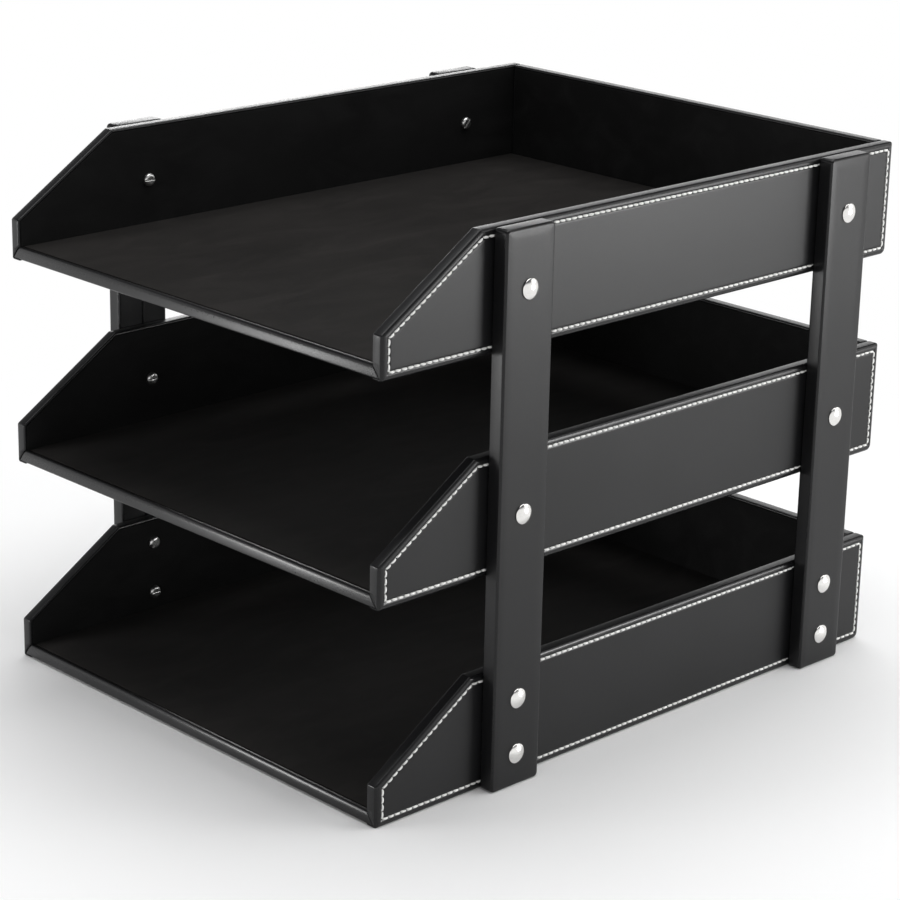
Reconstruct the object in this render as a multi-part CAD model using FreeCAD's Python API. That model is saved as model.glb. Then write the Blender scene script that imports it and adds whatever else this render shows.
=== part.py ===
import FreeCAD, Part
import math
import os

from FreeCAD import Vector

# Three-tier letter tray, in millimetres.
# X runs across the trays, Y from the open front (-Y) to the back (+Y), Z up.
# The origin is on the table, under the middle of the trays.

# Layers of a panel, from the outer face inwards
leather_thickness = 1.0
board_thickness = 4.0
lining_thickness = 1.0
panel_thickness = leather_thickness + board_thickness + lining_thickness

# One tray, measured over its outer faces
tray_width = 256.0
tray_depth = 330.0
wall_height = 55.0
front_edge_height = 19.5
slope_run = 55.0
base_lift = 0.8
hem_width = 1.5
base_hem_width = 3.0
edge_round = 0.9
corner_round = 1.2
rear_corner_round = 3.0
mitre_margin = 1.0
mitre_gap = 0.5

# The tower
tier_names = ["bottom", "middle", "top"]
tier_pitch = 100.0
tower_height = tier_pitch * (len(tier_names) - 1) + wall_height

# Uprights, which stand against the outer faces of the side walls
upright_width = 29.0
upright_board_thickness = 6.0
upright_thickness = upright_board_thickness + 2 * leather_thickness
upright_edge_round = 1.2
upright_seam_width = 0.4
front_upright_gap = 7.0
front_upright_setback = slope_run + front_upright_gap
rear_upright_setback = 27.0

# Screw posts: a domed head outside and a barrel through upright and wall
post_head_diameter = 9.4
post_dome_height = 1.6
post_rim_height = 0.6
post_barrel_diameter = 4.6
post_barrel_recess = 0.4
post_bore_depth = 9.0
barrel_clearance = 0.1
single_screw_from_rim = 27.0
pair_screw_from_rim = 13.0
pair_screw_from_foot = 15.5

# Slotted screws, which go into the barrels from the inside of the tray
screw_head_diameter = 6.3
screw_head_height = 2.0
screw_head_round = 1.4
screw_shank_diameter = 3.0
screw_thread_clearance = 0.05
screw_shank_length = 8.0
slot_width = 0.9
slot_depth = 0.7
slot_turn_step = 50.0

# Working values for cuts and for picking edges
cut_overshoot = 1.0
edge_tolerance = 0.01
hem_round_share = 0.9

# Places that follow from the sizes
front_y = -tray_depth / 2
back_y = tray_depth / 2
wall_outer_x = tray_width / 2
wall_inner_x = wall_outer_x - panel_thickness
back_inner_y = back_y - panel_thickness
base_top = base_lift + panel_thickness
upright_outer_x = wall_outer_x + upright_thickness
hole_radius = post_barrel_diameter / 2 + barrel_clearance
lap_notch_reach = panel_thickness - mitre_margin
lap_reach = lap_notch_reach - mitre_gap
upright_centres = {
    "front": front_y + front_upright_setback + upright_width / 2,
    "rear": back_y - rear_upright_setback - upright_width / 2,
}


def block(low, high):
    """A block between its lowest and highest corner."""
    size = high - low
    return Part.makeBox(size.x, size.y, size.z, low)


def corner_lines(corners, index):
    """Unit directions from one corner to the ones before and after it."""
    point = corners[index][0]
    before = corners[index - 1][0] - point
    after = corners[(index + 1) % len(corners)][0] - point
    return before.normalize(), after.normalize()


def rounded_outline(corners, inset=0.0):
    """A closed wire through (point, radius) corners, drawn inwards by an inset."""
    edges = []
    starts = []
    ends = []
    for index, (point, radius) in enumerate(corners):
        before, after = corner_lines(corners, index)
        half_angle = before.getAngle(after) / 2
        inwards = (before + after).normalize()
        tip = point + inwards * (inset / math.sin(half_angle))
        arc_radius = max(radius - inset, 0)
        reach = arc_radius / math.tan(half_angle)
        starts.append(tip + before * reach)
        ends.append(tip + after * reach)
        if arc_radius > 0:
            middle = tip + inwards * (arc_radius / math.sin(half_angle) - arc_radius)
            edges.append(Part.Arc(starts[-1], middle, ends[-1]).toShape())
    for index, start in enumerate(starts):
        edges.append(Part.LineSegment(ends[index - 1], start).toShape())
    return Part.Wire(Part.sortEdges(edges)[0])


def side_face(inset=0.0):
    """The side wall's face in the plane of its inner side, drawn in by an inset."""
    corners = [
        (Vector(wall_inner_x, front_y, 0), corner_round),
        (Vector(wall_inner_x, front_y, front_edge_height), corner_round),
        (Vector(wall_inner_x, front_y + slope_run, wall_height), corner_round),
        (Vector(wall_inner_x, back_y, wall_height), corner_round),
        (Vector(wall_inner_x, back_y, 0), rear_corner_round),
    ]
    return Part.Face(rounded_outline(corners, inset))


def round_edges(solid, radius, picks):
    """The solid with the edges that the test function picks rounded."""
    chosen = [edge for edge in solid.Edges if picks(edge)]
    return solid.makeFillet(radius, chosen)


def mirrored(shape):
    """The left-hand copy of a right-hand shape."""
    return shape.mirror(Vector(0, 0, 0), Vector(1, 0, 0))


def on_tier(shape, tier):
    """A copy of a shape, raised to its tier."""
    raised = shape.copy()
    raised.translate(Vector(0, 0, tier_pitch * tier_names.index(tier)))
    return raised


def screw_places(tier):
    """Where the fasteners of one tray are, as (y, z) above that tray's lower edge."""
    if tier == "bottom":
        heights = [pair_screw_from_foot, wall_height - pair_screw_from_rim]
    else:
        heights = [wall_height - single_screw_from_rim]
    return [(y, z) for y in upright_centres.values() for z in heights]


def with_screw_holes(shape, places):
    """The shape with a plain hole along X for each barrel."""
    low_x = shape.BoundBox.XMin - cut_overshoot
    length = shape.BoundBox.XLength + 2 * cut_overshoot
    along = Vector(1, 0, 0)
    holes = [Part.makeCylinder(hole_radius, length, Vector(low_x, y, z), along) for y, z in places]
    return shape.cut(holes)


def hem_lap(reach):
    """The corner of the base's front hem that laps onto the right side wall's front edge.

    It reaches furthest at the foot. The side wall's notch for it reaches a little further,
    which leaves the open seam between them.
    """
    points = [
        Vector(wall_inner_x, front_y, base_top),
        Vector(wall_inner_x, front_y, base_lift),
        Vector(wall_inner_x + reach, front_y, base_lift),
    ]
    face = Part.Face(Part.makePolygon(points + points[:1]))
    return face.extrude(Vector(0, leather_thickness, 0))


def side_wall(tier):
    """Board, cover and lining of the right-hand side wall."""
    whole = side_face().extrude(Vector(panel_thickness, 0, 0))
    whole = round_edges(whole, edge_round, lambda edge: edge.BoundBox.XLength < edge_tolerance)
    board = side_face(leather_thickness).extrude(Vector(board_thickness, 0, 0))
    board.translate(Vector(lining_thickness, 0, 0))
    lining = side_face(hem_width).extrude(Vector(lining_thickness, 0, 0))
    lined_space = block(
        Vector(wall_inner_x, front_y, base_top),
        Vector(wall_outer_x, back_inner_y, wall_height),
    )
    pieces = {
        "side_board": board,
        "side_cover": whole.cut([board, lining.common(lined_space), hem_lap(lap_notch_reach)]),
        "side_lining": lining.common(lined_space),
    }
    places = screw_places(tier)
    return {name: with_screw_holes(shape, places) for name, shape in pieces.items()}


def back_wall():
    """Board, cover and lining of the back wall, which stands between the side walls."""
    low = Vector(-wall_inner_x, back_inner_y, 0)
    high = Vector(wall_inner_x, back_y, wall_height)
    whole = block(low, high)
    whole = whole.makeFillet(edge_round, whole.Edges)
    skin = leather_thickness
    board = block(low + Vector(skin, lining_thickness, skin), high - Vector(skin, skin, skin))
    lining = block(
        Vector(low.x + hem_width, low.y, base_top),
        Vector(high.x - hem_width, low.y + lining_thickness, high.z - hem_width),
    )
    return {"back_board": board, "back_cover": whole.cut([board, lining]), "back_lining": lining}


def base_panel():
    """Board, cover and floor lining of the base, which lies inside the frame of the walls."""
    low = Vector(-wall_inner_x, front_y, base_lift)
    high = Vector(wall_inner_x, back_inner_y, base_top)
    lap = hem_lap(lap_reach)
    whole = block(low, high).fuse([lap, mirrored(lap)]).removeSplitter()
    whole = round_edges(
        whole,
        min(edge_round, hem_round_share * leather_thickness),
        lambda edge: edge.BoundBox.XLength >= 2 * wall_inner_x - edge_tolerance
        and edge.BoundBox.YMax < front_y + edge_tolerance,
    )
    skin = leather_thickness
    board = block(low + Vector(skin, skin, skin), high - Vector(skin, skin, lining_thickness))
    lining = block(Vector(low.x, low.y + base_hem_width, high.z - lining_thickness), high)
    return {"base_board": board, "base_cover": whole.cut([board, lining]), "floor_lining": lining}


def upright(place):
    """Board and cover of the right-hand upright at one place, front or rear.

    The cover is wrapped all round, and its two edges meet in a seam on the inner face.
    """
    centre_y = upright_centres[place]
    low = Vector(wall_outer_x, centre_y - upright_width / 2, 0)
    high = Vector(upright_outer_x, centre_y + upright_width / 2, tower_height)
    whole = block(low, high)
    whole = whole.makeFillet(upright_edge_round, whole.Edges)
    skin = leather_thickness
    board = block(low + Vector(skin, skin, skin), high - Vector(skin, skin, skin))
    seam = block(
        Vector(low.x, centre_y - upright_seam_width / 2, skin),
        Vector(low.x + skin, centre_y + upright_seam_width / 2, high.z - skin),
    )
    places = []
    for index, tier in enumerate(tier_names):
        places += [(y, z + tier_pitch * index) for y, z in screw_places(tier) if y == centre_y]
    pieces = {"upright_board": board, "upright_cover": whole.cut([board, seam])}
    return {name: with_screw_holes(shape, places) for name, shape in pieces.items()}


def domed_head():
    """A post's head on the X axis, its seat at zero: a shallow dome on a short rim."""
    radius = post_head_diameter / 2
    sphere_radius = (radius ** 2 + post_dome_height ** 2) / (2 * post_dome_height)
    sphere_centre = post_rim_height + post_dome_height - sphere_radius
    half_angle = math.asin(radius / sphere_radius) / 2
    seat = Vector(0, 0, 0)
    foot = Vector(0, radius, 0)
    rim = Vector(post_rim_height, radius, 0)
    crown = Vector(
        sphere_centre + sphere_radius * math.cos(half_angle),
        sphere_radius * math.sin(half_angle),
        0,
    )
    tip = Vector(post_rim_height + post_dome_height, 0, 0)
    outline = [
        Part.LineSegment(seat, foot).toShape(),
        Part.LineSegment(foot, rim).toShape(),
        Part.Arc(rim, crown, tip).toShape(),
        Part.LineSegment(tip, seat).toShape(),
    ]
    return Part.Face(Part.Wire(outline)).revolve(seat, Vector(1, 0, 0), 360)


def screw_post():
    """A screw post on the X axis, its head's seat at zero and its hollow barrel along -X."""
    barrel_length = upright_thickness + panel_thickness - post_barrel_recess
    barrel_end = Vector(-barrel_length, 0, 0)
    along = Vector(1, 0, 0)
    barrel = Part.makeCylinder(post_barrel_diameter / 2, barrel_length, barrel_end, along)
    bore_radius = screw_shank_diameter / 2 + screw_thread_clearance
    bore = Part.makeCylinder(bore_radius, post_bore_depth, barrel_end, along)
    return domed_head().fuse(barrel).removeSplitter().cut(bore)


def slotted_screw(turn):
    """A slotted screw on the X axis, its head's seat at zero and its shank along +X."""
    radius = screw_head_diameter / 2
    seat = Vector(0, 0, 0)
    head = Part.makeCylinder(radius, screw_head_height, seat, Vector(-1, 0, 0))
    head = round_edges(
        head,
        screw_head_round,
        lambda edge: edge.BoundBox.XMax < -screw_head_height + edge_tolerance,
    )
    shank = Part.makeCylinder(
        screw_shank_diameter / 2,
        screw_shank_length,
        seat,
        Vector(1, 0, 0),
    )
    slot = block(
        Vector(-screw_head_height, -radius, -slot_width / 2),
        Vector(slot_depth - screw_head_height, radius, slot_width / 2),
    )
    screw = head.fuse(shank).removeSplitter().cut(slot)
    screw.rotate(seat, Vector(1, 0, 0), turn)
    return screw


def fasteners(tier):
    """All posts and screws of one tray, as two groups of separate solids."""
    posts = []
    screws = []
    for index, (y, z) in enumerate(screw_places(tier)):
        post = screw_post()
        post.translate(Vector(upright_outer_x, y, z))
        screw = slotted_screw(slot_turn_step * index)
        screw.translate(Vector(wall_inner_x, y, z))
        posts += [post, mirrored(post)]
        screws += [screw, mirrored(screw)]
    return {"screw_posts": Part.makeCompound(posts), "screws": Part.makeCompound(screws)}


def build_tray(tier):
    """Every piece of one tray, raised to its tier."""
    pieces = {}
    for name, shape in side_wall(tier).items():
        pieces["right_" + name] = shape
        pieces["left_" + name] = mirrored(shape)
    pieces.update(back_wall())
    pieces.update(base_panel())
    pieces.update(fasteners(tier))
    return {f"{tier}_{name}": on_tier(shape, tier) for name, shape in pieces.items()}


def build_uprights():
    """The four uprights, each a board and its cover."""
    pieces = {}
    for place in upright_centres:
        for name, shape in upright(place).items():
            pieces[f"{place}_right_{name}"] = shape
            pieces[f"{place}_left_{name}"] = mirrored(shape)
    return pieces


nodes = build_uprights()
for tier_name in tier_names:
    nodes.update(build_tray(tier_name))

os.makedirs("parts", exist_ok=True)
for node_name, node_shape in nodes.items():
    node_shape.exportStep(f"parts/{node_name}.step")
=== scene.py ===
import math
import random

import bmesh
import bpy
from mathutils import Matrix, Vector


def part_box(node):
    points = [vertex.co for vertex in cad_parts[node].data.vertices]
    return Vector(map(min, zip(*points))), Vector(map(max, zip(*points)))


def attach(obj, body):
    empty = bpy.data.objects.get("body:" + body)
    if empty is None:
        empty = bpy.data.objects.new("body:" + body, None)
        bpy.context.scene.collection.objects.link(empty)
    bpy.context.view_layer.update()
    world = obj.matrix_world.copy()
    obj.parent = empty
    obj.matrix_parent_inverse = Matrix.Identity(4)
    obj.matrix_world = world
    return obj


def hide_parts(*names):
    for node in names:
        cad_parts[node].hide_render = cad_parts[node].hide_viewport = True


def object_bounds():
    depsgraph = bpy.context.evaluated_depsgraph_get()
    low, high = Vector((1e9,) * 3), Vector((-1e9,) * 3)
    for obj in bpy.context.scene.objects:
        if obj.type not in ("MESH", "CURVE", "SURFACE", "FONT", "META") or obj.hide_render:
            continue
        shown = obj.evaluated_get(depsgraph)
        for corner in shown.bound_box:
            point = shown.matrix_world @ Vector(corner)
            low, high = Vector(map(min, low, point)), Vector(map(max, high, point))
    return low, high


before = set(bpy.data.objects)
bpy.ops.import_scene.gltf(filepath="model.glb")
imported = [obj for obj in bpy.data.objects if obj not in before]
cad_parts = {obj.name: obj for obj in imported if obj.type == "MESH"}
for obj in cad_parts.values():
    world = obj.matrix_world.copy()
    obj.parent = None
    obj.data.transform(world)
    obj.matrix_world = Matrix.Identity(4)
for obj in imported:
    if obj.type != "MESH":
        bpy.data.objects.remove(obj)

cad_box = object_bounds()
random.seed(7)

# The letter tray, in metres: X across, Y from the open front to the back, Z up.
# Boards and slotted screws are the frame's own solids. Leather, linings and screw posts are
# made here and stand for the frame's plain ones. The thread is only here.
MM = 0.001
TIERS = ["bottom", "middle", "top"]
SIDES = {"left": -1, "right": 1}
PLACES = ["front", "rear"]

# Leather and lining
leather_thickness = 1.0 * MM
lining_thickness = 1.0 * MM
hem_width = 1.5 * MM
hem_roll = 0.3 * MM
hem_sink = 0.3 * MM
edge_round = 0.9 * MM
lip_reach = 1.1 * MM
lip_drop = 2.4 * MM
outer_edge_reach = 2.2 * MM
front_edge_reach = 2.7 * MM
outer_edge_drop = 1.2 * MM
corner_round = 1.2 * MM
rear_corner_round = 3.0 * MM
least_corner = 0.15 * MM
slope_run = 55.0 * MM
front_edge_height = 19.5 * MM
lap_reach = 4.7 * MM
lap_gap = 0.5 * MM
lap_notch_depth = 0.85 * MM
cutter_overhang = 1.0 * MM
lap_roll = 0.45 * MM
lining_roll = 0.35 * MM
lining_rim = 4 * lining_roll
lining_tuck = 0.8 * MM

# The three rings of leather at each end of a base, from the lap's tip inwards, as (share of
# the lap's roll gone, share sunk, distance of the unlapped leather from the side wall)
lap_end_rings = [(1.0, 1.0, 0.0), (0.7, 0.3, 0.02 * MM), (0.0, 0.0, 0.05 * MM)]

# Uprights
upright_round = 1.2 * MM
upright_corner_round = 2.0 * MM
upright_crown = 0.08 * MM
crown_reach = 4 * upright_round
crown_flat = 5 * upright_round
seam_half_width = 0.2 * MM
seam_roll = 0.45 * MM

# Stitching
stitch_pitch = 3.5 * MM
stitch_margin = 3.5 * MM
front_stitch_margin = 4.0 * MM
thread_half_width = 0.58 * MM
thread_half_height = 0.36 * MM
thread_rise = 0.20 * MM
thread_sink = 0.36 * MM
thread_end_width = 0.6
stitch_lean = 0.12 * MM
stitch_end_share = 0.055
lean_spread = (0.6, 1.3)
rise_spread = (0.75, 1.2)
groove_half_width = 1.2 * MM
groove_depth = 0.12 * MM
hole_depth = 0.35 * MM

# The stitch line's groove, as (place across it in half widths, share of its depth, share of
# a needle hole's depth), and the plain face inside it
groove_profile = [
    (-1.0, 0, 0),
    (-0.6, 0.4, 0.2),
    (-0.25, 1, 0.9),
    (0.25, 1, 0.9),
    (0.6, 0.4, 0.2),
    (1.0, 0, 0),
    (1.5, 0, 0),
]

# Screw posts
head_radius = 4.7 * MM
head_rim = 0.6 * MM
head_dome = 1.6 * MM
head_bevel_reach = 0.15 * MM
head_bevel_height = 0.1 * MM
barrel_radius = 2.3 * MM
barrel_length = 13.6 * MM
bore_radius = 1.55 * MM
bore_depth = 9.0 * MM

# How finely curves are divided
corner_steps = 5
round_steps = 5
stitch_steps = 8
thread_sides = 8
turned_steps = 64
dome_steps = 16
weld_distance = 0.001 * MM

# Places read from the frame
side_low, side_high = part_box("bottom_right_side_cover")
base_low, base_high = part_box("bottom_base_cover")
front_y, back_y = side_low.y, side_high.y
wall_inner_x, wall_outer_x = side_low.x, side_high.x
panel_thickness = wall_outer_x - wall_inner_x
wall_height = side_high.z
back_inner_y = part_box("bottom_back_cover")[0].y
base_foot, base_top = base_low.z, base_high.z
base_depth = base_high.y - base_low.y
base_hem_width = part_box("bottom_floor_lining")[0].y - front_y
tier_lift = {tier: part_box(f"{tier}_right_side_cover")[0].z - side_low.z for tier in TIERS}
upright_box = {place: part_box(f"{place}_right_upright_cover") for place in PLACES}
upright_outer_x = upright_box["front"][1].x


# Outlines and rings of points


def inset_corners(corners, insets):
    """Corners of an anticlockwise outline after each edge moves inwards by its own amount."""
    lines = []
    for index, corner in enumerate(corners):
        along = (corners[(index + 1) % len(corners)] - corner).normalized()
        inwards = Vector((-along.y, along.x))
        lines.append((corner + inwards * insets[index], along))
    moved = []
    for index, (point, along) in enumerate(lines):
        other, direction = lines[index - 1]
        reach = (point - other).cross(direction) / direction.cross(along)
        moved.append(point + along * reach)
    return moved


def corner_arc(before, corner, after, radius):
    """Points of the arc that rounds one corner of an anticlockwise outline."""
    arriving = (corner - before).normalized()
    leaving = (after - corner).normalized()
    turn = math.acos(max(-1.0, min(1.0, arriving.dot(leaving))))
    start = corner - arriving * radius * math.tan(turn / 2)
    centre = start + Vector((-arriving.y, arriving.x)) * radius
    return [
        centre + Matrix.Rotation(turn * step / corner_steps, 2) @ (start - centre)
        for step in range(corner_steps + 1)
    ]


def rounded_ring(corners, radii, counts):
    """Points round an outline: an arc at each corner, then the edge after it in equal steps."""
    size = len(corners)
    arcs = [
        corner_arc(corners[index - 1], corner, corners[(index + 1) % size], radii[index])
        for index, corner in enumerate(corners)
    ]
    ring = []
    for index, arc in enumerate(arcs):
        ring += arc
        start, end = arc[-1], arcs[(index + 1) % size][0]
        ring += [start.lerp(end, step / counts[index]) for step in range(1, counts[index])]
    return ring


def hole_marks(counts):
    """For each point of a ring, 1 where the needle went through and 0 between."""
    marks = []
    for count in counts:
        marks += [1] * (corner_steps + 1)
        marks += [1 - step % 2 for step in range(1, count)]
    return marks


def row_rings(outline, radii, counts, rows, place):
    """Rings in space, one for each row of (inset of every edge, depth across, pucker)."""
    marks = hole_marks(counts)
    rings = []
    for insets, across, pucker in rows:
        inner_radii = [
            max(radius - min(insets[index - 1], insets[index]), least_corner)
            for index, radius in enumerate(radii)
        ]
        ring = rounded_ring(inset_corners(outline, insets), inner_radii, counts)
        rings.append([place(point, across - pucker * mark) for point, mark in zip(ring, marks)])
    return rings


def quarter_turn(radius):
    """(gone along, gone across) for steps round a quarter circle that starts straight along."""
    angles = [math.pi / 2 * step / round_steps for step in range(round_steps + 1)]
    return [(radius * math.sin(angle), radius * (1 - math.cos(angle))) for angle in angles]


# Meshes


def piece_from(name, points, faces, material):
    """A smooth closed mesh with outward faces that rides on the tray's one body."""
    mesh = bpy.data.meshes.new(name)
    mesh.from_pydata([tuple(point) for point in points], [], faces)
    work = bmesh.new()
    work.from_mesh(mesh)
    bmesh.ops.remove_doubles(work, verts=work.verts, dist=weld_distance)
    bmesh.ops.recalc_face_normals(work, faces=work.faces)
    for face in work.faces:
        face.smooth = True
    work.to_mesh(mesh)
    work.free()
    mesh.materials.append(material)
    piece = bpy.data.objects.new(name, mesh)
    bpy.context.scene.collection.objects.link(piece)
    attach(piece, "root")
    return piece


def bands(rows, count, start=0):
    """Faces between rings of equally many points, with a face over each open end."""
    faces = []
    for row in range(rows - 1):
        low = start + row * count
        for index in range(count):
            after = (index + 1) % count
            faces.append((low + index, low + after, low + count + after, low + count + index))
    faces.append(tuple(range(start + count - 1, start - 1, -1)))
    faces.append(tuple(range(start + (rows - 1) * count, start + rows * count)))
    return faces


def loft(name, rings, material):
    """A closed skin through rings of points."""
    points = [point for ring in rings for point in ring]
    return piece_from(name, points, bands(len(rings), len(rings[0])), material)


# Stitching


def stitch_counts(outline, margins):
    """How many stitches each edge of a stitched outline takes."""
    corners = inset_corners(outline, margins)
    lengths = [
        (corners[(index + 1) % len(corners)] - corner).length
        for index, corner in enumerate(corners)
    ]
    return [max(1, round(length / stitch_pitch)) for length in lengths]


def stitch_rings(start, end, lean, rise):
    """Rings of one stitch between two needle holes, as (point, height) pairs."""
    along = (end - start).normalized()
    aside = Vector((-along.y, along.x))
    rings = []
    for step in range(stitch_steps + 1):
        share = step / stitch_steps
        swell = math.sin(math.pi * share) ** 0.5
        reach = stitch_end_share + share * (1 - 2 * stitch_end_share)
        centre = start.lerp(end, reach) + aside * lean * (1 - 2 * share)
        height = swell * (rise + thread_sink) - thread_sink
        width = thread_half_width * (thread_end_width + (1 - thread_end_width) * swell)
        ring = []
        for side in range(thread_sides):
            angle = 2 * math.pi * side / thread_sides
            across = aside * width * math.cos(angle)
            ring.append((centre + across, height + thread_half_height * math.sin(angle)))
        rings.append(ring)
    return rings


def sew(name, outline, margins, place, pressed, material):
    """A row of stitches round an outline. Where something is screwed over it, it lies flat."""
    surface = panel_thickness - groove_depth
    counts = stitch_counts(outline, margins)
    corners = inset_corners(outline, margins)
    ring = rounded_ring(corners, [least_corner] * len(corners), counts)
    points = []
    faces = []
    index = 0
    for count in counts:
        index += corner_steps
        for stitch in range(count):
            start = ring[index + stitch]
            end = ring[(index + stitch + 1) % len(ring)]
            lean = stitch_lean * random.uniform(*lean_spread)
            rise = thread_rise * random.uniform(*rise_spread)
            if pressed((start + end) / 2):
                rise = -thread_half_height
            faces += bands(stitch_steps + 1, thread_sides, len(points))
            for stitch_ring in stitch_rings(start, end, lean, rise):
                points += [place(point, surface + height) for point, height in stitch_ring]
        index += count
    return piece_from(name, points, faces, material)


# Wrapped panels


def cover_rows(margins, reaches):
    """Rows of a panel's leather: against the board, round the hem and edge, over the face.

    Each edge of the outline has its own margin to the stitch line and its own reach, over
    which the outer face still slopes towards the edge.
    """
    edges = len(margins)
    rows = [
        ([leather_thickness] * edges, panel_thickness - leather_thickness, 0),
        ([leather_thickness] * edges, lining_thickness, 0),
        ([hem_width] * edges, lining_thickness, 0),
        ([hem_width] * edges, hem_roll, 0),
        ([hem_width - hem_roll] * edges, 0, 0),
    ]
    for along, across in quarter_turn(edge_round):
        rows.append(([edge_round - along] * edges, across, 0))
    for along, across in quarter_turn(1.0):
        drop = outer_edge_drop * (1 - along)
        rows.append(([reach * across for reach in reaches], panel_thickness - drop, 0))
    for shift, depth, pucker in groove_profile:
        insets = [margin + shift * groove_half_width for margin in margins]
        rows.append((insets, panel_thickness - depth * groove_depth, pucker * hole_depth))
    return rows


def lining_rows(insets):
    """Rows of a lining, from the board up its edge and over its rolled rim."""
    rows = [(insets, lining_thickness, 0)]
    for along, across in quarter_turn(lining_roll):
        rows.append(([inset + across for inset in insets], lining_roll - along, 0))
    rows.append(([inset + lining_rim for inset in insets], 0, 0))
    return rows


side_outline = [
    Vector((front_y, 0)),
    Vector((back_y, 0)),
    Vector((back_y, wall_height)),
    Vector((front_y + slope_run, wall_height)),
    Vector((front_y, front_edge_height)),
]
side_radii = [corner_round, rear_corner_round, corner_round, corner_round, corner_round]
side_margins = [stitch_margin] * (len(side_outline) - 1) + [front_stitch_margin]
side_reaches = [outer_edge_reach] * (len(side_outline) - 1) + [front_edge_reach]
side_lining_insets = [
    base_top - lining_tuck,
    back_y - back_inner_y - lining_tuck,
    hem_width,
    hem_width,
    hem_width,
]

back_outline = [
    Vector((-wall_inner_x, 0)),
    Vector((wall_inner_x, 0)),
    Vector((wall_inner_x, wall_height)),
    Vector((-wall_inner_x, wall_height)),
]
back_margins = [stitch_margin] * len(back_outline)
back_reaches = [outer_edge_reach] * len(back_outline)
back_lining_insets = [base_top - lining_tuck, hem_width, hem_width, hem_width]

floor_outline = [
    Vector((-wall_inner_x, front_y + base_hem_width)),
    Vector((wall_inner_x, front_y + base_hem_width)),
    Vector((wall_inner_x, back_inner_y)),
    Vector((-wall_inner_x, back_inner_y)),
]


def under_upright(point):
    """Whether a point of a side wall's outer face lies under an upright."""
    return any(low.y < point.x < high.y for low, high in upright_box.values())


def cut_lap_notch(cover, side, lift):
    """Cuts the notch for the base's front lap out of a side wall's leather."""
    section = [
        (wall_inner_x - cutter_overhang, base_foot),
        (wall_inner_x + lap_reach + lap_gap, base_foot),
        (wall_inner_x + lap_gap, base_top),
        (wall_inner_x - cutter_overhang, base_top),
    ]
    points = []
    for y in (front_y - cutter_overhang, front_y + lap_notch_depth):
        points += [Vector((side * x, y, z + lift)) for x, z in section]
    wedge_mesh = bpy.data.meshes.new("lap_notch")
    wedge_mesh.from_pydata([tuple(point) for point in points], [], bands(2, len(section)))
    work = bmesh.new()
    work.from_mesh(wedge_mesh)
    bmesh.ops.recalc_face_normals(work, faces=work.faces)
    work.to_mesh(wedge_mesh)
    work.free()
    wedge = bpy.data.objects.new("lap_notch", wedge_mesh)
    bpy.context.scene.collection.objects.link(wedge)
    cut = cover.modifiers.new("lap_notch", "BOOLEAN")
    cut.operation = "DIFFERENCE"
    cut.solver = "EXACT"
    cut.object = wedge
    depsgraph = bpy.context.evaluated_depsgraph_get()
    notched = bpy.data.meshes.new_from_object(cover.evaluated_get(depsgraph))
    cover.modifiers.clear()
    cover.data = notched
    bpy.data.objects.remove(wedge)


def make_side_wall(tier, side_name, finishes):
    """Leather, lining and stitches of one side wall."""
    side = SIDES[side_name]
    lift = tier_lift[tier]

    def place(point, across):
        """A point of the side wall's outline, at a depth from the wall's inner face."""
        return Vector((side * (wall_inner_x + across), point.x, point.y + lift))

    counts = stitch_counts(side_outline, side_margins)
    steps = [2 * count for count in counts]
    rows = cover_rows(side_margins, side_reaches)
    rings = row_rings(side_outline, side_radii, steps, rows, place)
    name = f"{tier}_{side_name}_side"
    cover = loft(f"{name}_leather", rings, finishes["leather"])
    cut_lap_notch(cover, side, lift)
    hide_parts(f"{name}_cover")
    rings = row_rings(
        side_outline, side_radii, [1] * len(side_outline), lining_rows(side_lining_insets), place
    )
    lining = loft(f"{name}_suede", rings, finishes["wall_lining"])
    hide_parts(f"{name}_lining")
    thread = finishes["thread"]
    sew(f"{name}_stitches", side_outline, side_margins, place, under_upright, thread)


def make_back_wall(tier, finishes):
    """Leather, lining and stitches of one back wall."""
    lift = tier_lift[tier]

    def place(point, across):
        """A point of the back wall's outline, at a depth from the wall's inner face."""
        return Vector((point.x, back_inner_y + across, point.y + lift))

    radii = [corner_round] * len(back_outline)
    steps = [2 * count for count in stitch_counts(back_outline, back_margins)]
    rows = cover_rows(back_margins, back_reaches)
    rings = row_rings(back_outline, radii, steps, rows, place)
    cover = loft(f"{tier}_back_leather", rings, finishes["leather"])
    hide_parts(f"{tier}_back_cover")
    rings = row_rings(
        back_outline, radii, [1] * len(back_outline), lining_rows(back_lining_insets), place
    )
    lining = loft(f"{tier}_back_suede", rings, finishes["wall_lining"])
    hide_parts(f"{tier}_back_lining")
    thread = finishes["thread"]
    sew(f"{tier}_back_stitches", back_outline, back_margins, place, lambda point: False, thread)


def base_section():
    """The base leather's section as (depth, height, lapped): over the hem, under, and inside."""
    section = [
        (base_hem_width, base_top - lining_thickness, False),
        (base_hem_width, base_top - hem_sink - hem_roll, False),
        (base_hem_width - hem_roll, base_top - hem_sink, False),
    ]
    for along, across in quarter_turn(1.0):
        section.append((lip_reach * (1 - along), base_top - lip_drop * across, True))
    for along, across in quarter_turn(edge_round):
        section.append((across, base_foot + edge_round - along, True))
    inner_top = base_top - lining_thickness
    inner_foot = base_foot + leather_thickness
    behind_lap = leather_thickness + hem_roll
    section += [
        (behind_lap, base_foot, False),
        (base_depth, base_foot, False),
        (base_depth, inner_top, False),
        (base_depth - leather_thickness, inner_top, False),
        (base_depth - leather_thickness, inner_foot, False),
        (behind_lap, inner_foot, False),
        (leather_thickness, inner_foot, True),
        (leather_thickness, inner_top, True),
    ]
    return section


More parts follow.
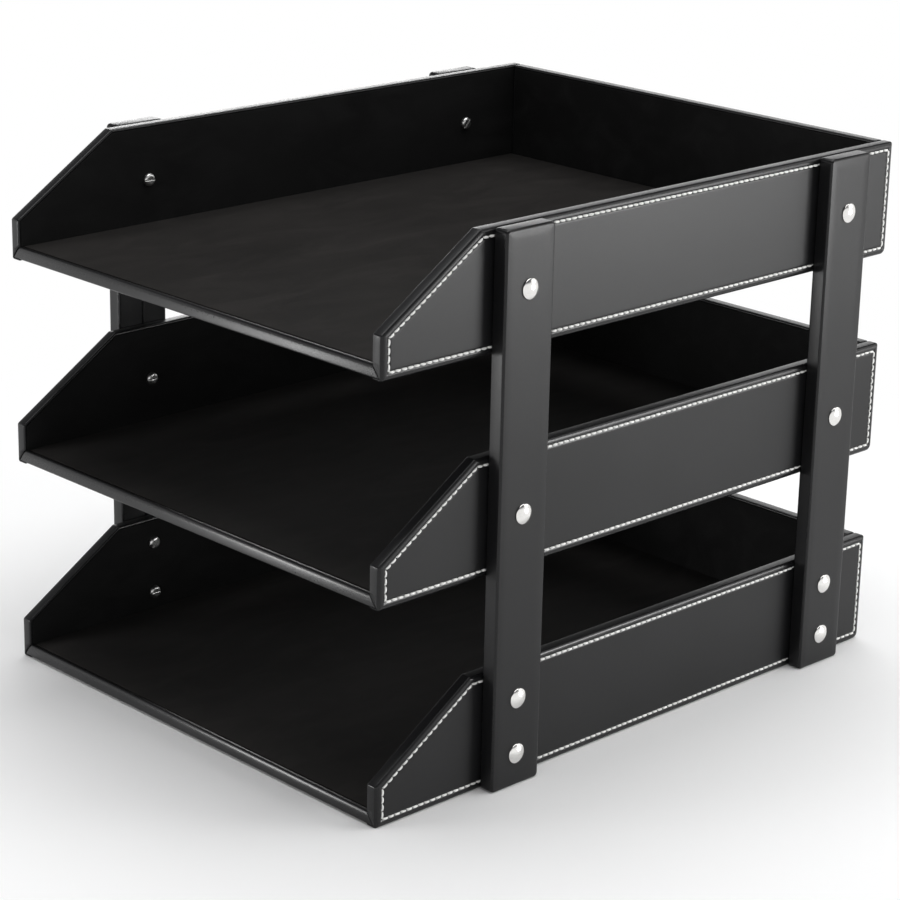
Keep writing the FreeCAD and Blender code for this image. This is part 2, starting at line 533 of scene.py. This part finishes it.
def make_base(tier, finishes):
    """Leather and floor lining of one base. Its front hem laps onto both side walls."""
    lift = tier_lift[tier]
    section = base_section()
    rings = []
    for side in (-1, 1):
        end_rings = lap_end_rings if side < 0 else reversed(lap_end_rings)
        for gone, sunk, short in end_rings:
            ring = []
            for depth, height, lapped in section:
                x = wall_inner_x - short
                y = front_y + depth
                if lapped:
                    slant = (base_top - height) / (base_top - base_foot)
                    x = wall_inner_x + lap_reach * slant - lap_roll * (1 - gone)
                    y += lap_roll * sunk * max(0, 1 - depth / leather_thickness)
                ring.append(Vector((side * x, y, height + lift)))
            rings.append(ring)
    cover = loft(f"{tier}_base_leather", rings, finishes["leather"])
    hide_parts(f"{tier}_base_cover")

    def place(point, across):
        """A point of the floor lining's outline, at a depth from the lining's top."""
        return Vector((point.x, point.y, base_top - across + lift))

    rings = row_rings(
        floor_outline,
        [least_corner] * len(floor_outline),
        [1] * len(floor_outline),
        lining_rows([0] * len(floor_outline)),
        place,
    )
    lining = loft(f"{tier}_floor_suede", rings, finishes["floor_lining"])
    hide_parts(f"{tier}_floor_lining")


def make_upright(place_name, side_name, finishes):
    """Leather of one upright, wrapped round and closed by a seam on its inner face."""
    side = SIDES[side_name]
    low, high = upright_box[place_name]
    thickness = high.x - low.x
    outline = [
        Vector((low.y, low.z)),
        Vector((high.y, low.z)),
        Vector((high.y, high.z)),
        Vector((low.y, high.z)),
    ]
    edges = len(outline)
    seam_inset = (high.y - low.y) / 2 - seam_half_width

    def place(point, across):
        """A point of the upright's outline, at a depth from its inner face."""
        return Vector((side * (low.x + across), point.x, point.y))

    rows = [([seam_inset] * edges, leather_thickness, 0)]
    for along, across in quarter_turn(seam_roll):
        rows.append(([seam_inset - across] * edges, seam_roll - along, 0))
    for along, across in quarter_turn(upright_round):
        rows.append(([upright_round - along] * edges, across, 0))
    for along, across in quarter_turn(upright_round):
        rows.append(([across] * edges, thickness - upright_round + along, 0))
    rows.append(([crown_reach] * edges, thickness + upright_crown, 0))
    rows.append(([crown_flat] * edges, thickness + upright_crown, 0))
    radii = [upright_corner_round] * edges
    rings = row_rings(outline, radii, [1] * edges, rows, place)
    name = f"{place_name}_{side_name}_upright"
    cover = loft(f"{name}_leather", rings, finishes["leather"])
    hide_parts(f"{name}_cover")


# Fasteners


def post_profile():
    """(distance from the seat, radius) from the bore's end round the barrel and over the head."""
    sphere_radius = (head_radius ** 2 + head_dome ** 2) / (2 * head_dome)
    sphere_centre = head_rim + head_dome - sphere_radius
    edge_angle = math.asin(head_radius / sphere_radius)
    profile = [
        (bore_depth - barrel_length, bore_radius),
        (-barrel_length, bore_radius),
        (-barrel_length, barrel_radius),
        (0, barrel_radius),
        (0, head_radius - head_bevel_reach),
        (head_bevel_height, head_radius),
        (head_rim, head_radius),
    ]
    for step in range(1, dome_steps):
        angle = edge_angle * (1 - step / dome_steps)
        along = sphere_centre + sphere_radius * math.cos(angle)
        profile.append((along, sphere_radius * math.sin(angle)))
    return profile


def post_heights(tier):
    """Heights of a tray's posts: one at the middle of its group, or one at each end of it."""
    low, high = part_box(f"{tier}_screw_posts")
    lowest, highest = low.z + head_radius, high.z - head_radius
    if highest - lowest < head_radius:
        return [(low.z + high.z) / 2]
    return [lowest, highest]


def turned_points(profile, side, middle_y, middle_z):
    """Rings of points of a profile turned about an axis straight across an upright."""
    points = []
    for along, radius in profile:
        x = side * (upright_outer_x + along)
        for step in range(turned_steps):
            angle = 2 * math.pi * step / turned_steps
            aside, up = radius * math.cos(angle), radius * math.sin(angle)
            points.append(Vector((x, middle_y + aside, middle_z + up)))
    return points


def make_posts(tier, finishes):
    """The domed screw posts of one tray, turned from one profile."""
    profile = post_profile()
    points = []
    faces = []
    for place_name in PLACES:
        low, high = upright_box[place_name]
        for height in post_heights(tier):
            for side in SIDES.values():
                faces += bands(len(profile), turned_steps, len(points))
                points += turned_points(profile, side, (low.y + high.y) / 2, height)
    posts = piece_from(f"{tier}_post_heads", points, faces, finishes["nickel"])
    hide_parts(f"{tier}_screw_posts")


# Shader groups

# Sockets of a Mix node that mixes colours
mix_factor = 0
mix_first_colour = 6
mix_second_colour = 7
mix_colour_output = 2


def node_in(tree, kind, inputs=None, **options):
    """Adds a shader node. Inputs take a value or another node's output."""
    node = tree.nodes.new("ShaderNode" + kind)
    for name, value in options.items():
        setattr(node, name, value)
    for name, value in (inputs or {}).items():
        if isinstance(value, bpy.types.NodeSocket):
            tree.links.new(value, node.inputs[name])
        else:
            node.inputs[name].default_value = value
    return node


def math_of(tree, operation, *values):
    """The output of a Math node on one to three values."""
    return node_in(tree, "Math", dict(enumerate(values)), operation=operation).outputs[0]


def new_group(name, inputs, outputs):
    """A shader node group with named sockets, and the sockets to read from and link to."""
    tree = bpy.data.node_groups.new(name, "ShaderNodeTree")
    kinds = {"value": "NodeSocketFloat", "colour": "NodeSocketColor"}
    for label, (kind, default) in inputs.items():
        socket = tree.interface.new_socket(label, in_out="INPUT", socket_type=kinds[kind])
        socket.default_value = default
    for label, kind in outputs.items():
        tree.interface.new_socket(label, in_out="OUTPUT", socket_type=kinds[kind])
    entry = tree.nodes.new("NodeGroupInput").outputs
    leave = tree.nodes.new("NodeGroupOutput").inputs
    return tree, entry, leave


def cells_per_metre(tree, size):
    """Turns a size in millimetres into a texture scale."""
    return math_of(tree, "DIVIDE", 1 / MM, size)


def build_pebble_grain():
    """Rounded pebbles with creases between them, as on embossed leather."""
    # In pebbles: the wander's frequency and reach, a crease's width, the fine frequency
    warp_scale = 0.6
    warp_reach = 0.9
    crease_distance = 0.30
    fine_scale = 1.7
    tree, entry, leave = new_group(
        "pebble_grain",
        {"Pebble mm": ("value", 0.9), "Unevenness": ("value", 0.35)},
        {"Height": "value", "Creases": "value"},
    )
    where = node_in(tree, "TexCoord").outputs["Object"]
    scale = cells_per_metre(tree, entry["Pebble mm"])
    slow = math_of(tree, "MULTIPLY", scale, warp_scale)
    warp = node_in(tree, "TexNoise", {"Vector": where, "Scale": slow}).outputs["Color"]
    bend = node_in(tree, "VectorMath", {0: warp, 1: (0.5, 0.5, 0.5)}, operation="SUBTRACT")
    reach = math_of(tree, "MULTIPLY", entry["Pebble mm"], warp_reach * MM)
    bend = node_in(tree, "VectorMath", {0: bend.outputs[0], "Scale": reach}, operation="SCALE")
    bent = node_in(tree, "VectorMath", {0: where, 1: bend.outputs[0]}, operation="ADD")
    cells = node_in(
        tree,
        "TexVoronoi",
        {"Vector": bent.outputs[0], "Scale": scale, "Randomness": 0.85},
        feature="DISTANCE_TO_EDGE",
    )
    dome = node_in(
        tree,
        "MapRange",
        {"Value": cells.outputs["Distance"], "From Max": crease_distance},
        interpolation_type="SMOOTHSTEP",
    ).outputs[0]
    rough = node_in(
        tree,
        "TexNoise",
        {"Vector": where, "Scale": math_of(tree, "MULTIPLY", scale, fine_scale), "Detail": 3.0},
    ).outputs[0]
    uneven = math_of(tree, "MULTIPLY", rough, entry["Unevenness"])
    tree.links.new(math_of(tree, "ADD", dome, uneven), leave["Height"])
    tree.links.new(math_of(tree, "SUBTRACT", 1.0, dome), leave["Creases"])
    return tree


def build_cloudy_tone():
    """Slow lighter and darker patches over a colour."""
    tree, entry, leave = new_group(
        "cloudy_tone",
        {
            "Colour": ("colour", (0.5, 0.5, 0.5, 1)),
            "Patch mm": ("value", 40.0),
            "Amount": ("value", 0.2),
        },
        {"Colour": "colour", "Patches": "value"},
    )
    where = node_in(tree, "TexCoord").outputs["Object"]
    scale = cells_per_metre(tree, entry["Patch mm"])
    noise = node_in(
        tree, "TexNoise", {"Vector": where, "Scale": scale, "Detail": 5.0, "Roughness": 0.6}
    ).outputs[0]
    spread = node_in(
        tree, "MapRange", {"Value": noise, "From Min": 0.3, "From Max": 0.7}
    ).outputs[0]
    swing = math_of(tree, "MULTIPLY", math_of(tree, "SUBTRACT", spread, 0.5), entry["Amount"])
    factor = math_of(tree, "MULTIPLY_ADD", swing, 2.0, 1.0)
    toned = node_in(
        tree, "VectorMath", {0: entry["Colour"], "Scale": factor}, operation="SCALE"
    ).outputs[0]
    tree.links.new(toned, leave["Colour"])
    tree.links.new(spread, leave["Patches"])
    return tree


def build_rounded_edges():
    """A mask that is 1 on rounded edges and 0 on the tray's flat faces."""
    tree, entry, leave = new_group(
        "rounded_edges", {"Sharpness": ("value", 20.0)}, {"Edges": "value"}
    )
    facing = node_in(tree, "NewGeometry").outputs["Normal"]
    rise = wall_height - front_edge_height
    slope = Vector((0, -rise, slope_run)).normalized()
    nearest = 0.0
    for direction in ((1, 0, 0), (0, 1, 0), (0, 0, 1), tuple(slope)):
        dot = node_in(tree, "VectorMath", {0: facing, 1: direction}, operation="DOT_PRODUCT")
        flat = math_of(tree, "ABSOLUTE", dot.outputs["Value"])
        nearest = math_of(tree, "MAXIMUM", flat, nearest)
    away = math_of(tree, "MULTIPLY", math_of(tree, "SUBTRACT", 1.0, nearest), entry["Sharpness"])
    tree.links.new(math_of(tree, "MINIMUM", away, 1.0), leave["Edges"])
    return tree


def build_nap():
    """Short brushed fibres: fine height and the streaks that a hand leaves in them."""
    streak_stretch = (1.0, 0.35, 1.0)
    tree, entry, leave = new_group(
        "nap",
        {"Fibre mm": ("value", 0.35), "Streak mm": ("value", 18.0)},
        {"Height": "value", "Streaks": "value"},
    )
    where = node_in(tree, "TexCoord").outputs["Object"]
    fibres = node_in(
        tree,
        "TexNoise",
        {
            "Vector": where,
            "Scale": cells_per_metre(tree, entry["Fibre mm"]),
            "Detail": 4.0,
            "Roughness": 0.7,
        },
    ).outputs[0]
    stretched = node_in(
        tree, "VectorMath", {0: where, 1: streak_stretch}, operation="MULTIPLY"
    ).outputs[0]
    streaks = node_in(
        tree,
        "TexNoise",
        {
            "Vector": stretched,
            "Scale": cells_per_metre(tree, entry["Streak mm"]),
            "Detail": 6.0,
            "Roughness": 0.65,
            "Distortion": 0.8,
        },
    ).outputs[0]
    tree.links.new(fibres, leave["Height"])
    tree.links.new(streaks, leave["Streaks"])
    return tree


def build_fine_scratches():
    """Hairlines and faint clouding on plated metal."""
    hairs_per_metre = 2500.0
    clouds_per_metre = 260.0
    tree, entry, leave = new_group(
        "fine_scratches",
        {"Roughness": ("value", 0.15), "Amount": ("value", 0.1)},
        {"Roughness": "value", "Height": "value"},
    )
    where = node_in(tree, "TexCoord").outputs["Object"]
    hairs = node_in(
        tree,
        "TexNoise",
        {"Vector": where, "Scale": hairs_per_metre, "Detail": 3.0, "Distortion": 2.0},
    ).outputs[0]
    clouds = node_in(
        tree, "TexNoise", {"Vector": where, "Scale": clouds_per_metre, "Detail": 2.0}
    ).outputs[0]
    mixed = math_of(tree, "MULTIPLY", hairs, clouds)
    tree.links.new(
        math_of(tree, "MULTIPLY_ADD", mixed, entry["Amount"], entry["Roughness"]),
        leave["Roughness"],
    )
    tree.links.new(hairs, leave["Height"])
    return tree


# Finishes


def new_material(name, colour, **values):
    """A material with a Principled shader whose plain values are set on its own sockets."""
    material = bpy.data.materials.new(name)
    material.use_nodes = True
    tree = material.node_tree
    shader = tree.nodes["Principled BSDF"]
    shader.inputs["Base Color"].default_value = (*colour, 1)
    for socket, value in values.items():
        shader.inputs[socket.replace("_", " ")].default_value = value
    return material, tree, shader


def place_group(tree, group, **inputs):
    """Adds a group node, sets values on its inputs and returns its outputs."""
    node = tree.nodes.new("ShaderNodeGroup")
    node.node_tree = group
    for label, value in inputs.items():
        node.inputs[label.replace("_", " ")].default_value = value
    return node.outputs


def place_tone(tree, groups, colour, patch_mm, amount):
    """The cloudy tone of a finish's own colour."""
    return place_group(
        tree, groups["cloudy_tone"], Colour=(*colour, 1), Patch_mm=patch_mm, Amount=amount
    )


def blend_colour(tree, share, first, second):
    """Mixes two colours by a share."""
    mixed = node_in(
        tree,
        "Mix",
        {mix_factor: share, mix_first_colour: first, mix_second_colour: second},
        data_type="RGBA",
    )
    return mixed.outputs[mix_colour_output]


def add_bump(tree, shader, height, strength, distance):
    """Feeds a height through a Bump node to the shader's normal."""
    inputs = {"Height": height, "Strength": strength, "Distance": distance}
    bump = node_in(tree, "Bump", inputs)
    tree.links.new(bump.outputs[0], shader.inputs["Normal"])


def leather_finish(groups):
    """Black imitation leather with a fine pebble grain, painted shade in the grain's creases, and
    a satin sheen.
    """
    colour = (0.008, 0.008, 0.0085)
    # Painted shade: the grain's creases are darker in the base colour
    crease_shade_colour = (0.004, 0.004, 0.0045, 1)
    crease_shade_share = 0.5
    plain_roughness = 0.29
    crease_roughness = 0.08
    patch_roughness = 0.04
    edge_polish = -0.12
    material, tree, shader = new_material("black_leather", colour, Specular_IOR_Level=0.28)
    tone = place_tone(tree, groups, colour, patch_mm=55.0, amount=0.16)
    grain = place_group(tree, groups["pebble_grain"], Pebble_mm=0.85)
    edges = place_group(tree, groups["rounded_edges"])
    # Painted shade: the base colour darkens towards the crease colour in the grain's creases
    share = math_of(tree, "MULTIPLY", grain["Creases"], crease_shade_share)
    crease_shaded = blend_colour(tree, share, tone["Colour"], crease_shade_colour)
    tree.links.new(crease_shaded, shader.inputs["Base Color"])
    dull = math_of(tree, "MULTIPLY_ADD", grain["Creases"], crease_roughness, plain_roughness)
    dull = math_of(tree, "MULTIPLY_ADD", tone["Patches"], patch_roughness, dull)
    dull = math_of(tree, "MULTIPLY_ADD", edges["Edges"], edge_polish, dull)
    tree.links.new(dull, shader.inputs["Roughness"])
    add_bump(tree, shader, grain["Height"], strength=0.08, distance=0.10 * MM)
    return material


def suede_finish(groups, name, colour):
    """Dark brushed lining, matt, with faint streaks."""
    material, tree, shader = new_material(
        name, colour, Roughness=0.95, Specular_IOR_Level=0.08, Sheen_Weight=0.02
    )
    streak_gain = 1.6
    nap = place_group(tree, groups["nap"])
    tone = place_tone(tree, groups, colour, patch_mm=70.0, amount=0.25)
    lighter = tuple(streak_gain * part for part in colour)
    share = node_in(
        tree, "MapRange", {"Value": nap["Streaks"], "From Min": 0.45, "From Max": 0.75}
    ).outputs[0]
    streaked = blend_colour(tree, share, tone["Colour"], (*lighter, 1))
    tree.links.new(streaked, shader.inputs["Base Color"])
    add_bump(tree, shader, nap["Height"], strength=0.6, distance=0.10 * MM)
    return material


def thread_finish(groups):
    """Off-white waxed thread with a fine fibrous surface."""
    colour = (0.72, 0.72, 0.70)
    material, tree, shader = new_material("white_thread", colour, Roughness=0.65)
    tone = place_tone(tree, groups, colour, patch_mm=6.0, amount=0.10)
    nap = place_group(tree, groups["nap"], Fibre_mm=0.18)
    tree.links.new(tone["Colour"], shader.inputs["Base Color"])
    add_bump(tree, shader, nap["Height"], strength=0.5, distance=0.08 * MM)
    return material


def metal_finish(groups, name, colour, roughness):
    """Bright plated metal with hairline scratches."""
    material, tree, shader = new_material(name, colour, Metallic=1.0)
    worn = place_group(tree, groups["fine_scratches"], Roughness=roughness, Amount=0.12)
    tone = place_tone(tree, groups, colour, patch_mm=5.0, amount=0.05)
    tree.links.new(tone["Colour"], shader.inputs["Base Color"])
    tree.links.new(worn["Roughness"], shader.inputs["Roughness"])
    add_bump(tree, shader, worn["Height"], strength=0.05, distance=0.01 * MM)
    return material


def board_finish(groups):
    """Raw fibreboard, sealed inside the leather."""
    colour = (0.48, 0.36, 0.24)
    material, tree, shader = new_material("fibreboard", colour, Roughness=0.85)
    tone = place_tone(tree, groups, colour, patch_mm=3.0, amount=0.3)
    nap = place_group(tree, groups["nap"], Fibre_mm=0.6)
    tree.links.new(tone["Colour"], shader.inputs["Base Color"])
    add_bump(tree, shader, nap["Height"], strength=0.3, distance=0.1 * MM)
    return material


def make_finishes():
    """All finishes of the tray, by the record's slot names."""
    groups = {
        "pebble_grain": build_pebble_grain(),
        "cloudy_tone": build_cloudy_tone(),
        "rounded_edges": build_rounded_edges(),
        "nap": build_nap(),
        "fine_scratches": build_fine_scratches(),
    }
    return {
        "leather": leather_finish(groups),
        "wall_lining": suede_finish(groups, "wall_suede", (0.007, 0.007, 0.007)),
        "floor_lining": suede_finish(groups, "floor_suede", (0.0115, 0.0105, 0.0098)),
        "thread": thread_finish(groups),
        "nickel": metal_finish(groups, "bright_nickel", (0.82, 0.81, 0.79), roughness=0.12),
        "screw_steel": metal_finish(groups, "zinc_plate", (0.66, 0.66, 0.65), roughness=0.28),
        "board": board_finish(groups),
    }


# Studio

# The floor fades into the wall's white between two distances from its middle
floor_size = 16.0
floor_colour = (0.93, 0.93, 0.93)
floor_roughness = 0.9
fade_start = 0.20
fade_end = 0.52

# The wall turns into the ceiling between two heights on a sphere of radius 1
wall_colour = (1.0, 1.0, 1.0, 1)
ceiling_colour = (0.10, 0.10, 0.105, 1)
wall_top = 0.30
ceiling_start = 0.52

# Soft lamps, as (name, place, width, height, watts)
lamps = [
    ("overhead", (0.0, 0.3, 2.2), 2.2, 2.2, 47),
    ("right_rear", (1.00, 0.72, 0.12), 0.45, 0.35, 8),
    ("right_upper", (0.80, 0.95, 0.70), 0.8, 0.5, 1.5),
    ("left_front", (-0.52, -1.05, 0.12), 0.35, 0.24, 6),
    ("left_rear", (-1.30, 0.87, 0.53), 0.6, 0.24, 2.8),
    ("rear", (-0.88, 1.26, 0.60), 0.6, 0.24, 1.0),
]

# The camera, fitted to the photograph
camera_yaw = math.radians(45.821)
camera_pitch = math.radians(18.521)
camera_roll = math.radians(1.252)
camera_place = Vector((920.75, -895.74, 533.12)) * MM
focal_pixels = 2785.157
image_pixels = 900
sensor_width = 36.0
nearest_seen = 0.01


def aimed(location, target):
    """The rotation that points a lamp's -Z axis at a target."""
    return (target - location).to_track_quat("-Z", "Y").to_euler()


def add_softbox(name, location, target, width, height, power):
    """A rectangular soft lamp with white light."""
    light = bpy.data.lights.new(name, "AREA")
    light.shape = "RECTANGLE"
    light.size = width
    light.size_y = height
    light.energy = power
    lamp = bpy.data.objects.new(name, light)
    lamp.location = location
    lamp.rotation_euler = aimed(location, target)
    bpy.context.scene.collection.objects.link(lamp)


def make_surroundings():
    """A pale studio wall round the horizon under a darker ceiling."""
    world = bpy.data.worlds.new("studio")
    world.use_nodes = True
    bpy.context.scene.world = world
    tree = world.node_tree
    direction = node_in(tree, "TexCoord").outputs["Generated"]
    height = node_in(tree, "SeparateXYZ", {"Vector": direction}).outputs["Z"]
    upwards = node_in(
        tree,
        "MapRange",
        {"Value": height, "From Min": wall_top, "From Max": ceiling_start},
        interpolation_type="SMOOTHSTEP",
    ).outputs[0]
    colour = blend_colour(tree, upwards, wall_colour, ceiling_colour)
    tree.links.new(colour, tree.nodes["Background"].inputs["Color"])


def make_floor():
    """A plain pale floor that fills every view and fades into the white of the studio."""
    half = floor_size / 2
    mesh = bpy.data.meshes.new("studio_floor")
    corners = [(-half, -half, 0), (half, -half, 0), (half, half, 0), (-half, half, 0)]
    mesh.from_pydata(corners, [], [(0, 1, 2, 3)])
    floor = bpy.data.objects.new("studio_floor", mesh)
    bpy.context.scene.collection.objects.link(floor)
    material, tree, shader = new_material(
        "pale_floor", floor_colour, Roughness=floor_roughness
    )
    mesh.materials.append(material)
    where = node_in(tree, "TexCoord").outputs["Object"]
    distance = node_in(tree, "VectorMath", {0: where}, operation="LENGTH").outputs["Value"]
    faded = node_in(
        tree,
        "MapRange",
        {"Value": distance, "From Min": fade_start, "From Max": fade_end},
        interpolation_type="SMOOTHSTEP",
    ).outputs[0]
    path = node_in(tree, "LightPath").outputs
    seen = math_of(tree, "MAXIMUM", path["Is Camera Ray"], path["Is Glossy Ray"])
    seen = math_of(tree, "MAXIMUM", seen, path["Is Transmission Ray"])
    white = node_in(tree, "Emission", {"Color": wall_colour})
    mixed = node_in(
        tree,
        "MixShader",
        {0: math_of(tree, "MULTIPLY", seen, faded), 1: shader.outputs[0], 2: white.outputs[0]},
    )
    tree.links.new(mixed.outputs[0], tree.nodes["Material Output"].inputs["Surface"])


def make_lamps():
    """All lamps, turned towards the middle of the tower."""
    middle = Vector((0, 0, cad_box[1].z / 2))
    for name, location, width, height, power in lamps:
        add_softbox(name, Vector(location), middle, width, height, power)


def make_camera():
    """The photograph's camera: in front on the right and a little above."""
    data = bpy.data.cameras.new("camera")
    data.sensor_width = sensor_width
    data.lens = focal_pixels / image_pixels * data.sensor_width
    data.clip_start = nearest_seen
    camera = bpy.data.objects.new("camera", data)
    heading = Matrix.Rotation(camera_yaw, 4, "Z")
    tilt = Matrix.Rotation(math.pi / 2 - camera_pitch, 4, "X")
    roll = Matrix.Rotation(camera_roll, 4, "Z")
    camera.matrix_world = Matrix.Translation(camera_place) @ heading @ tilt @ roll
    bpy.context.scene.collection.objects.link(camera)
    bpy.context.scene.camera = camera


# The tray, then the studio round it

finishes = make_finishes()
for tier in TIERS:
    for side_name in SIDES:
        make_side_wall(tier, side_name, finishes)
    make_back_wall(tier, finishes)
    make_base(tier, finishes)
    make_posts(tier, finishes)
for place_name in PLACES:
    for side_name in SIDES:
        make_upright(place_name, side_name, finishes)
# The frame's own solids that still show: boards and slotted screws
for name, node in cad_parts.items():
    if not node.hide_render:
        node.data.materials.clear()
        node.data.materials.append(finishes["screw_steel" if name.endswith("screws") else "board"])
make_surroundings()
make_floor()
make_lamps()
make_camera()
bpy.context.scene.view_settings.view_transform = "Standard"
